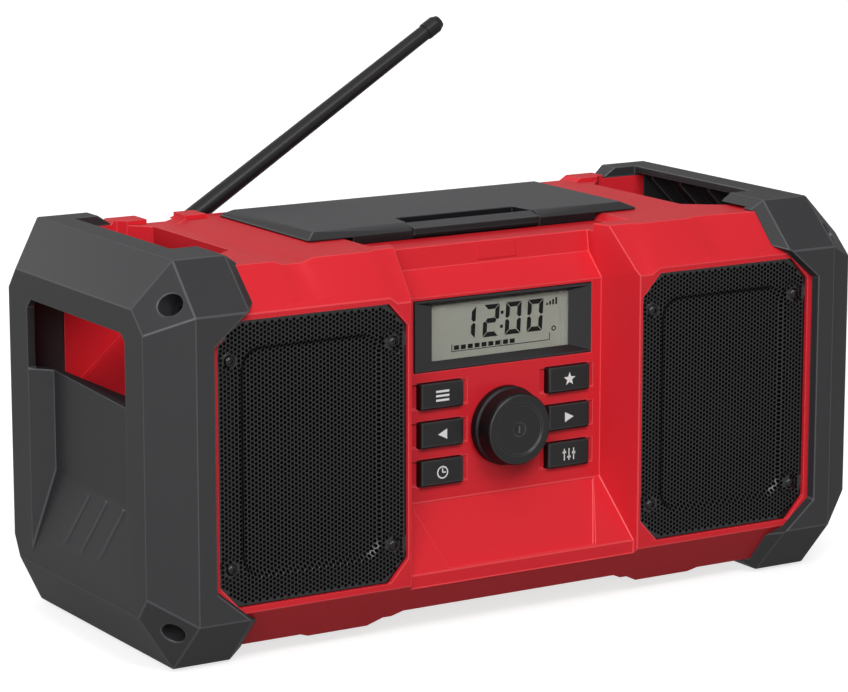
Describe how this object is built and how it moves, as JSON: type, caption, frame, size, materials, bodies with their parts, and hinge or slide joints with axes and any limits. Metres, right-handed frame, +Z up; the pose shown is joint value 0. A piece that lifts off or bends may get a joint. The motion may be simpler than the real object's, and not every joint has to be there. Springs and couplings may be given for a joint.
{
  "type": "jobsite radio",
  "caption": "Rugged box-shaped jobsite radio with black end caps and carrying bars, perforated speaker grilles, recessed control panel, storage lid, battery bay and antenna.",
  "frame": {"origin": "middle of the box around the whole radio, on the surface that its feet stand on", "axes": "+X to the right as seen from the front, the control panel faces -Y, +Z up"},
  "size_m": [0.41, 0.187, 0.284],
  "materials": {
    "red_shell": "fine moulded grain, semi-matt",
    "charcoal_plastic": "fine moulded grain, matt",
    "lid_plastic": "fine moulded grain, matt",
    "bezel_plastic": "satin",
    "button_plastic": "satin",
    "knob_plastic": "satin",
    "baffle_plastic": "matt",
    "tub_plastic": "matt",
    "inlet_plastic": "satin",
    "grille_steel": "black powder coat",
    "basket_steel": "black paint",
    "cone_paper": "pressed paper and foam",
    "magnet_iron": "ground ferrite",
    "dark_screw": "black oxide",
    "pin_steel": "drawn",
    "encoder_metal": "pressed",
    "socket_steel": "plated",
    "terminal_brass": "plated",
    "board_green": "solder mask",
    "supply_case": "matt",
    "display_glass": "grey-green liquid crystal",
    "window_clear": "clear acrylic",
    "foot_rubber": "matt",
    "whip_rubber": "satin"
  },
  "bodies": {
    "radio": {"front_housing": "red_shell", "rear_housing": "red_shell", "left_end_cap": "charcoal_plastic", "right_end_cap": "charcoal_plastic", "left_cap_screws": "dark_screw", "right_cap_screws": "dark_screw", "housing_screws": "dark_screw", "feet": "foot_rubber", "left_baffle": "baffle_plastic", "right_baffle": "baffle_plastic", "left_grille": "grille_steel", "right_grille": "grille_steel", "left_grille_screws": "dark_screw", "right_grille_screws": "dark_screw", "left_speaker_basket": "basket_steel", "right_speaker_basket": "basket_steel", "left_speaker_cone": "cone_paper", "right_speaker_cone": "cone_paper", "left_speaker_magnet": "magnet_iron", "right_speaker_magnet": "magnet_iron", "display_bezel": "bezel_plastic", "display_window": "window_clear", "display_module": "display_glass", "control_board": "board_green", "encoder_body": "encoder_metal", "main_board": "board_green", "power_supply": "supply_case", "mains_inlet": "inlet_plastic", "storage_tub": "tub_plastic", "usb_socket": "socket_steel", "audio_socket": "inlet_plastic", "lid_hinge_pins": "pin_steel", "battery_bay": "tub_plastic", "battery_terminals": "terminal_brass", "battery_door_pin": "pin_steel", "antenna_base": "charcoal_plastic", "antenna_pivot_screw": "dark_screw"},
    "lid": {"lid": "lid_plastic", "lid_seal": "foot_rubber", "lid_latch_pin": "pin_steel"},
    "lid_latch": {"lid_latch": "lid_plastic"},
    "battery_door": {"battery_door": "charcoal_plastic", "battery_latch_pin": "pin_steel"},
    "battery_door_latch": {"battery_door_latch": "foot_rubber"},
    "antenna": {"antenna_whip": "whip_rubber", "antenna_tip": "whip_rubber"},
    "encoder_push": {"encoder_plunger": "pin_steel"},
    "knob": {"knob": "knob_plastic", "encoder_shaft": "pin_steel"},
    "mode_button": {"mode_button": "button_plastic"},
    "seek_down_button": {"seek_down_button": "button_plastic"},
    "clock_button": {"clock_button": "button_plastic"},
    "preset_button": {"preset_button": "button_plastic"},
    "seek_up_button": {"seek_up_button": "button_plastic"},
    "equaliser_button": {"equaliser_button": "button_plastic"}
  },
  "joints": [
    {"name": "lid_hinge", "type": "hinge", "parent": "radio", "child": "lid", "pos_m": [0, 0.062, 0.1905], "axis": [-1, 0, 0], "range_deg": [0, 90]},
    {"name": "lid_latch_hinge", "type": "hinge", "parent": "lid", "child": "lid_latch", "pos_m": [0, -0.0321, 0.1907], "axis": [1, 0, 0], "range_deg": [0, 25], "stiffness_Nm_per_rad": 0.05, "springref_deg": -8.59},
    {"name": "battery_door_hinge", "type": "hinge", "parent": "radio", "child": "battery_door", "pos_m": [0, 0.0855, 0.0356], "axis": [-1, 0, 0], "range_deg": [0, 100]},
    {"name": "battery_latch_hinge", "type": "hinge", "parent": "battery_door", "child": "battery_door_latch", "pos_m": [0, 0.0851, 0.136], "axis": [1, 0, 0], "range_deg": [0, 18], "stiffness_Nm_per_rad": 0.05, "springref_deg": -8.59},
    {"name": "antenna_hinge", "type": "hinge", "parent": "radio", "child": "antenna", "pos_m": [-0.1287, 0.0823, 0.1674], "axis": [0, -1, 0], "range_deg": [-31.8, 58.2]},
    {"name": "knob_push", "type": "slide", "parent": "radio", "child": "encoder_push", "axis": [0, 1, 0], "range_m": [0, 0.0008], "stiffness_N_per_m": 1500, "springref_m": -0.0008},
    {"name": "knob_turn", "type": "hinge", "parent": "encoder_push", "child": "knob", "pos_m": [0, -0.068, 0.0978], "axis": [0, 1, 0], "continuous": true},
    {"name": "mode_button_press", "type": "slide", "parent": "radio", "child": "mode_button", "axis": [0, 1, 0], "range_m": [0, 0.0012], "stiffness_N_per_m": 900, "springref_m": -0.0012},
    {"name": "seek_down_button_press", "type": "slide", "parent": "radio", "child": "seek_down_button", "axis": [0, 1, 0], "range_m": [0, 0.0012], "stiffness_N_per_m": 900, "springref_m": -0.0012},
    {"name": "clock_button_press", "type": "slide", "parent": "radio", "child": "clock_button", "axis": [0, 1, 0], "range_m": [0, 0.0012], "stiffness_N_per_m": 900, "springref_m": -0.0012},
    {"name": "preset_button_press", "type": "slide", "parent": "radio", "child": "preset_button", "axis": [0, 1, 0], "range_m": [0, 0.0012], "stiffness_N_per_m": 900, "springref_m": -0.0012},
    {"name": "seek_up_button_press", "type": "slide", "parent": "radio", "child": "seek_up_button", "axis": [0, 1, 0], "range_m": [0, 0.0012], "stiffness_N_per_m": 900, "springref_m": -0.0012},
    {"name": "equaliser_button_press", "type": "slide", "parent": "radio", "child": "equaliser_button", "axis": [0, 1, 0], "range_m": [0, 0.0012], "stiffness_N_per_m": 900, "springref_m": -0.0012}
  ]
}
